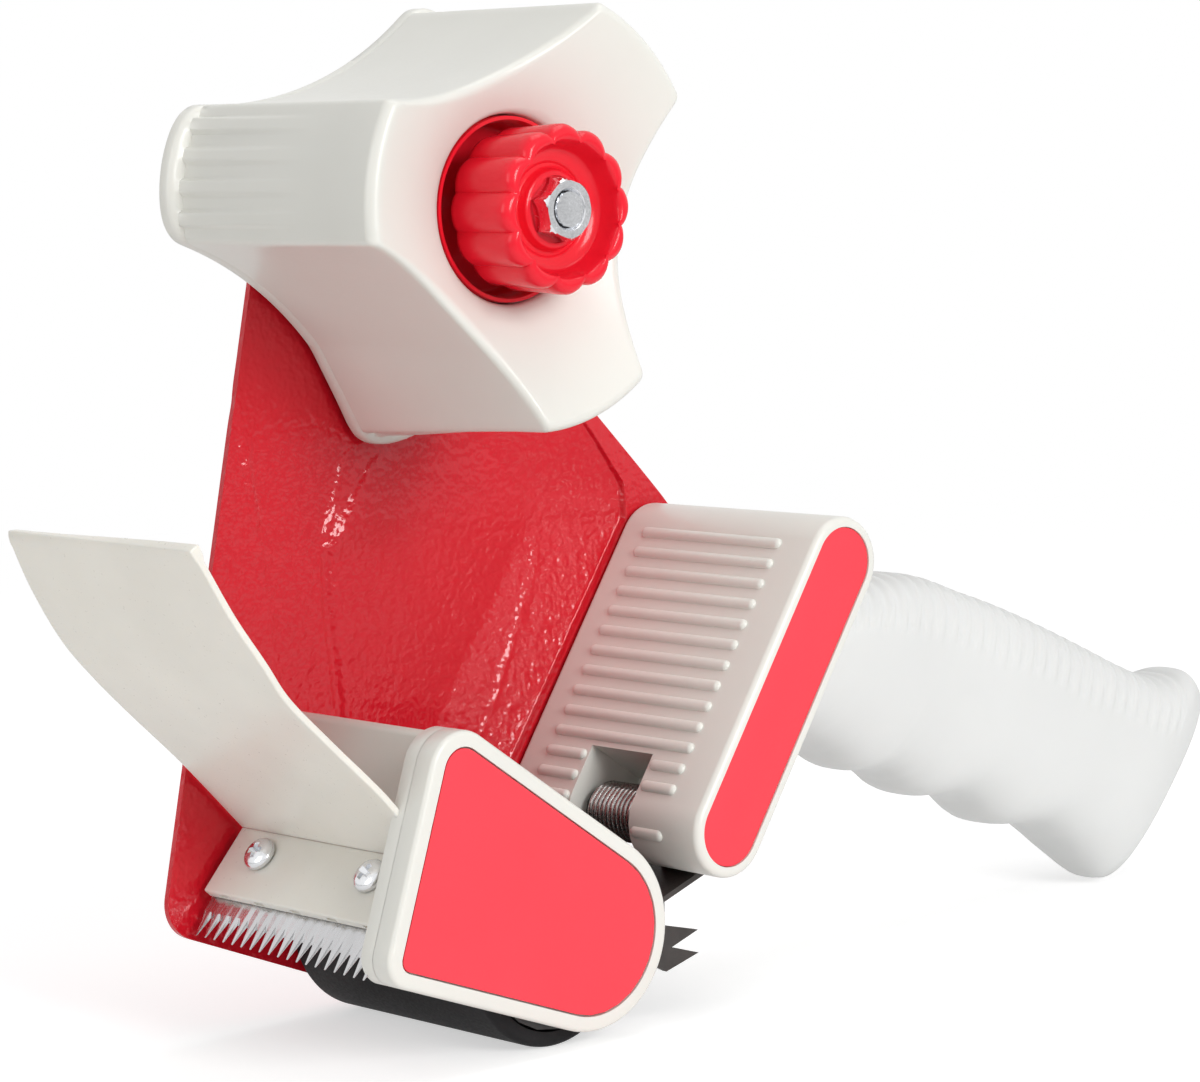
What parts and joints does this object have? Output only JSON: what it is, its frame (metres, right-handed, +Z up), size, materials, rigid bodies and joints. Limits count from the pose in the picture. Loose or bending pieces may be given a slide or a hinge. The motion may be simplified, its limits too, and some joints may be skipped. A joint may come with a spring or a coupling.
{
  "type": "packing tape dispenser",
  "caption": "Hand-held dispenser for wide packing tape: three-armed hub on a red steel side plate, brake knob, roller, saw-tooth blade, wiper flap and rear grip.",
  "frame": {"origin": "centre of the bounding box in X and Y, on the ground at the roller's lowest line", "axes": "+X towards the handle's butt, -X towards the cutting end, +Y towards the steel side plate, -Y the open side, +Z up"},
  "size_m": [0.2756, 0.068, 0.1808],
  "materials": {
    "red_paint": "gloss stove enamel",
    "warm_plastic": "satin moulded",
    "milky_plastic": "milky, flexible",
    "grip_plastic": "satin moulded",
    "coral_inlay": "matte",
    "red_plastic": "high gloss",
    "rubber": "smooth",
    "core_plastic": "matte",
    "blade_steel": "bright",
    "zinc": "zinc plated",
    "dark_steel": "oiled spring steel",
    "nylon": "matte",
    "fibre": "matte fibre"
  },
  "bodies": {
    "frame": {"side_plate": "red_paint", "front_guard": "warm_plastic", "guard_inlay": "coral_inlay", "wiper_flap": "milky_plastic", "cutter_blade": "blade_steel", "blade_screw_1": "zinc", "blade_screw_2": "zinc", "roller_axle": "zinc", "roller_axle_nut": "zinc", "rear_housing": "warm_plastic", "housing_inlay": "coral_inlay", "retention_pin": "zinc", "torsion_spring": "dark_steel", "handle": "grip_plastic", "housing_screw_1": "zinc", "housing_screw_2": "zinc", "housing_screw_3": "zinc", "handle_screw_1": "zinc", "handle_screw_2": "zinc", "guard_screw_1": "zinc", "guard_screw_2": "zinc", "axle_bolt": "zinc", "hub_sleeve": "nylon", "friction_washer": "fibre", "tension_spring": "zinc"},
    "hub": {"hub": "warm_plastic", "tension_cup": "red_plastic"},
    "roller": {"roller_sleeve": "rubber", "roller_core": "core_plastic"},
    "retainer": {"retention_plate": "dark_steel"},
    "washer": {"spring_washer": "zinc"},
    "knob": {"tension_knob": "red_plastic", "knob_nut": "zinc"}
  },
  "joints": [
    {"name": "hub_spin", "type": "hinge", "parent": "frame", "child": "hub", "pos_m": [-0.06326, 0.02245, 0.1447], "axis": [0, 1, 0], "continuous": true},
    {"name": "roller_spin", "type": "hinge", "parent": "frame", "child": "roller", "pos_m": [-0.06276, 0.02245, 0.0179], "axis": [0, 1, 0], "continuous": true},
    {"name": "retention_swing", "type": "hinge", "parent": "frame", "child": "retainer", "pos_m": [-0.02536, 0.02245, 0.0332], "axis": [0, -1, 0], "range_deg": [0, 20], "stiffness_Nm_per_rad": 0.03, "springref_deg": -20.05},
    {"name": "washer_slide", "type": "slide", "parent": "frame", "child": "washer", "axis": [0, 1, 0], "range_m": [-0.00101, 0.00201], "deforming": ["tension_spring"]},
    {"name": "knob_turn", "type": "hinge", "parent": "washer", "child": "knob", "pos_m": [-0.06326, 0.02245, 0.1447], "axis": [0, 1, 0], "range_deg": [-360, 720]}
  ],
  "couplings": [
    {"joint": "washer_slide", "follows": "knob_turn", "m_per_rad": 0.00015915}
  ]
}
